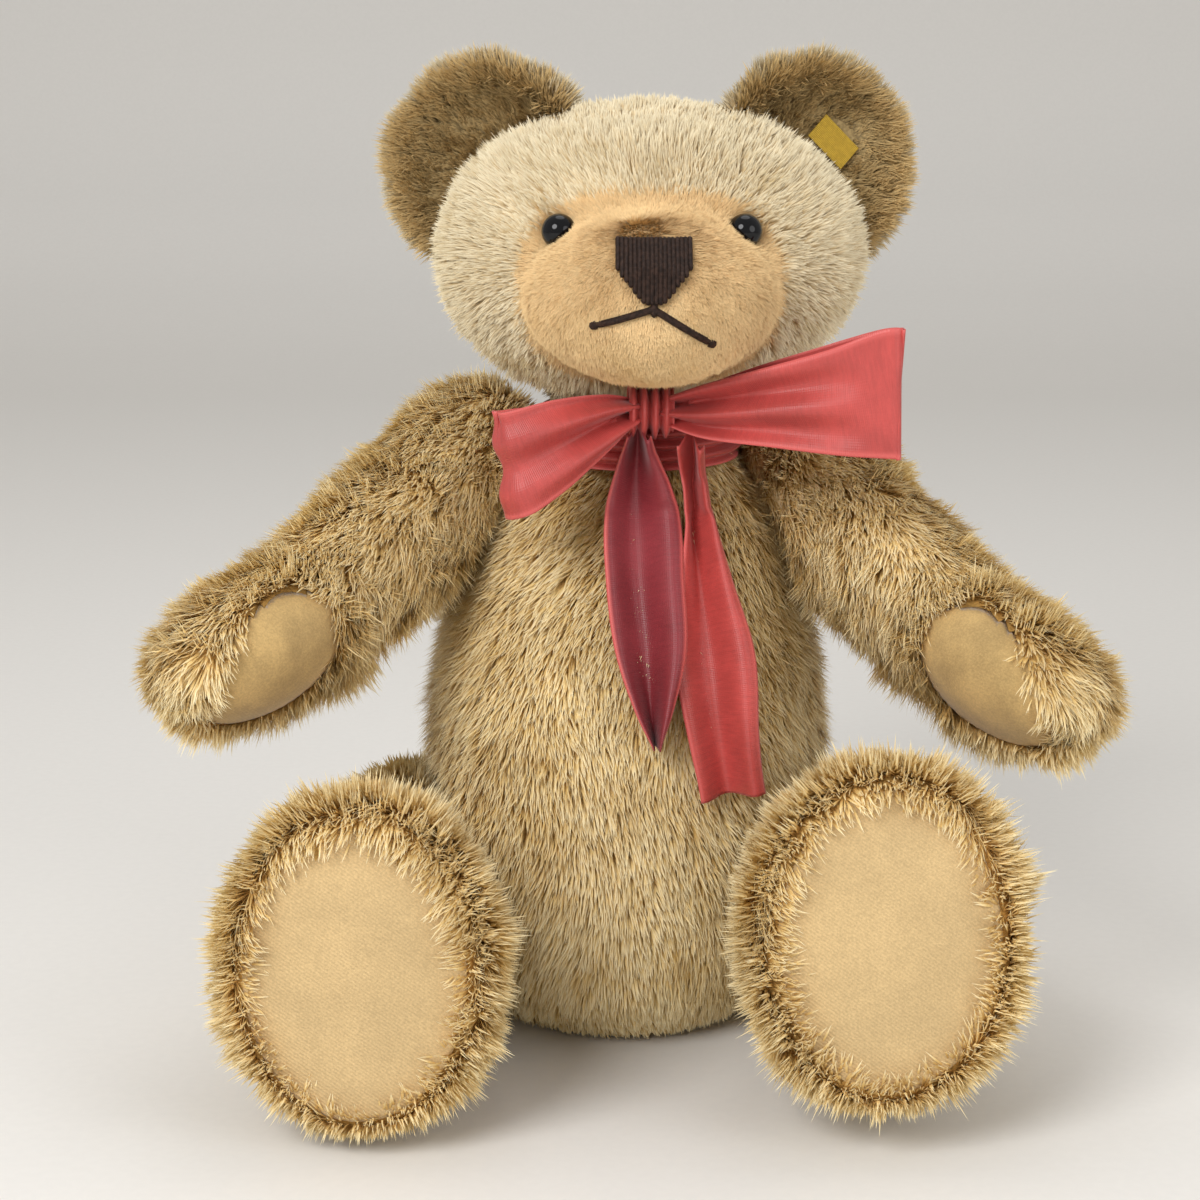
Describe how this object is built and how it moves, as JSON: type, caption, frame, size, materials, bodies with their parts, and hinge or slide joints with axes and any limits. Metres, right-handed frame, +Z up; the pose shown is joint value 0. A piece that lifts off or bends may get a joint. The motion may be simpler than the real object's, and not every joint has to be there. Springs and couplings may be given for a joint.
{
  "type": "jointed teddy bear",
  "caption": "Sitting mohair teddy bear with disc joints at the neck, shoulders and hips, flat velour soles and a ribbon bow.",
  "frame": {"origin": "centre of the flat seat under the torso, on the surface the bear sits on", "axes": "+Z up, the bear faces -Y, its left side is +X"},
  "size_m": [0.3146, 0.2261, 0.3365],
  "materials": {
    "mohair": "long pile",
    "short_pile": "short pile",
    "wood_wool": "loose fibre",
    "felt": "matt",
    "velour": "matt",
    "ribbon": "satin",
    "thread": "satin",
    "tape": "matt",
    "eye_glass": "gloss",
    "board": "matt",
    "card": "matt",
    "steel": "satin",
    "lead": "matt"
  },
  "bodies": {
    "torso": {"torso_cover": "mohair", "torso_stuffing": "wood_wool", "neck_body_disc": "board", "right_shoulder_body_disc": "board", "left_shoulder_body_disc": "board", "right_hip_body_disc": "board", "left_hip_body_disc": "board", "body_washers": "steel", "growler_can": "card", "growler_lid": "card", "growler_bellows": "card", "growler_weight": "lead", "bow_neck_band": "ribbon", "bow_knot": "ribbon", "bow_left_loop": "ribbon", "bow_right_loop": "ribbon", "bow_left_tail": "ribbon", "bow_right_tail": "ribbon"},
    "head": {"head_cover": "mohair", "muzzle_cover": "short_pile", "head_stuffing": "wood_wool", "left_ear": "mohair", "right_ear": "mohair", "ear_tag": "tape", "left_eye": "eye_glass", "right_eye": "eye_glass", "left_eye_shank": "steel", "right_eye_shank": "steel", "nose_stitching": "thread", "mouth_stitching": "thread", "neck_head_disc": "board", "neck_head_washer": "steel", "neck_head_cotter_pin": "steel"},
    "left_arm": {"left_arm_cover": "mohair", "left_paw_pad": "felt", "left_arm_stuffing": "wood_wool", "left_arm_disc": "board", "left_arm_washer": "steel", "left_arm_cotter_pin": "steel"},
    "left_leg": {"left_leg_cover": "mohair", "left_sole": "velour", "left_leg_stuffing": "wood_wool", "left_leg_disc": "board", "left_leg_washer": "steel", "left_leg_cotter_pin": "steel"},
    "right_arm": {"right_arm_cover": "mohair", "right_paw_pad": "felt", "right_arm_stuffing": "wood_wool", "right_arm_disc": "board", "right_arm_washer": "steel", "right_arm_cotter_pin": "steel"},
    "right_leg": {"right_leg_cover": "mohair", "right_sole": "velour", "right_leg_stuffing": "wood_wool", "right_leg_disc": "board", "right_leg_washer": "steel", "right_leg_cotter_pin": "steel"}
  },
  "joints": [
    {"name": "neck_turn", "type": "hinge", "parent": "torso", "child": "head", "pos_m": [0.0094, 0.01505, 0.21527], "axis": [0.0435, 0.0697, 0.9966], "range_deg": [-180, 180], "deforming": ["bow_left_loop", "bow_right_loop"]},
    {"name": "left_shoulder", "type": "hinge", "parent": "torso", "child": "left_arm", "pos_m": [0.05305, 0.01296, 0.18341], "axis": [-0.8433, -0.04, -0.5359], "range_deg": [-60, 30]},
    {"name": "left_hip", "type": "hinge", "parent": "torso", "child": "left_leg", "pos_m": [0.05596, 0.00121, 0.04363], "axis": [-0.9986, -0.0523, 0], "range_deg": [-100, 5]},
    {"name": "right_shoulder", "type": "hinge", "parent": "torso", "child": "right_arm", "pos_m": [-0.03686, 0.01296, 0.18733], "axis": [-0.7934, 0.04, 0.6074], "range_deg": [-60, 30]},
    {"name": "right_hip", "type": "hinge", "parent": "torso", "child": "right_leg", "pos_m": [-0.05194, 0.00121, 0.04834], "axis": [-0.9986, 0.0523, 0], "range_deg": [-100, 5]}
  ]
}
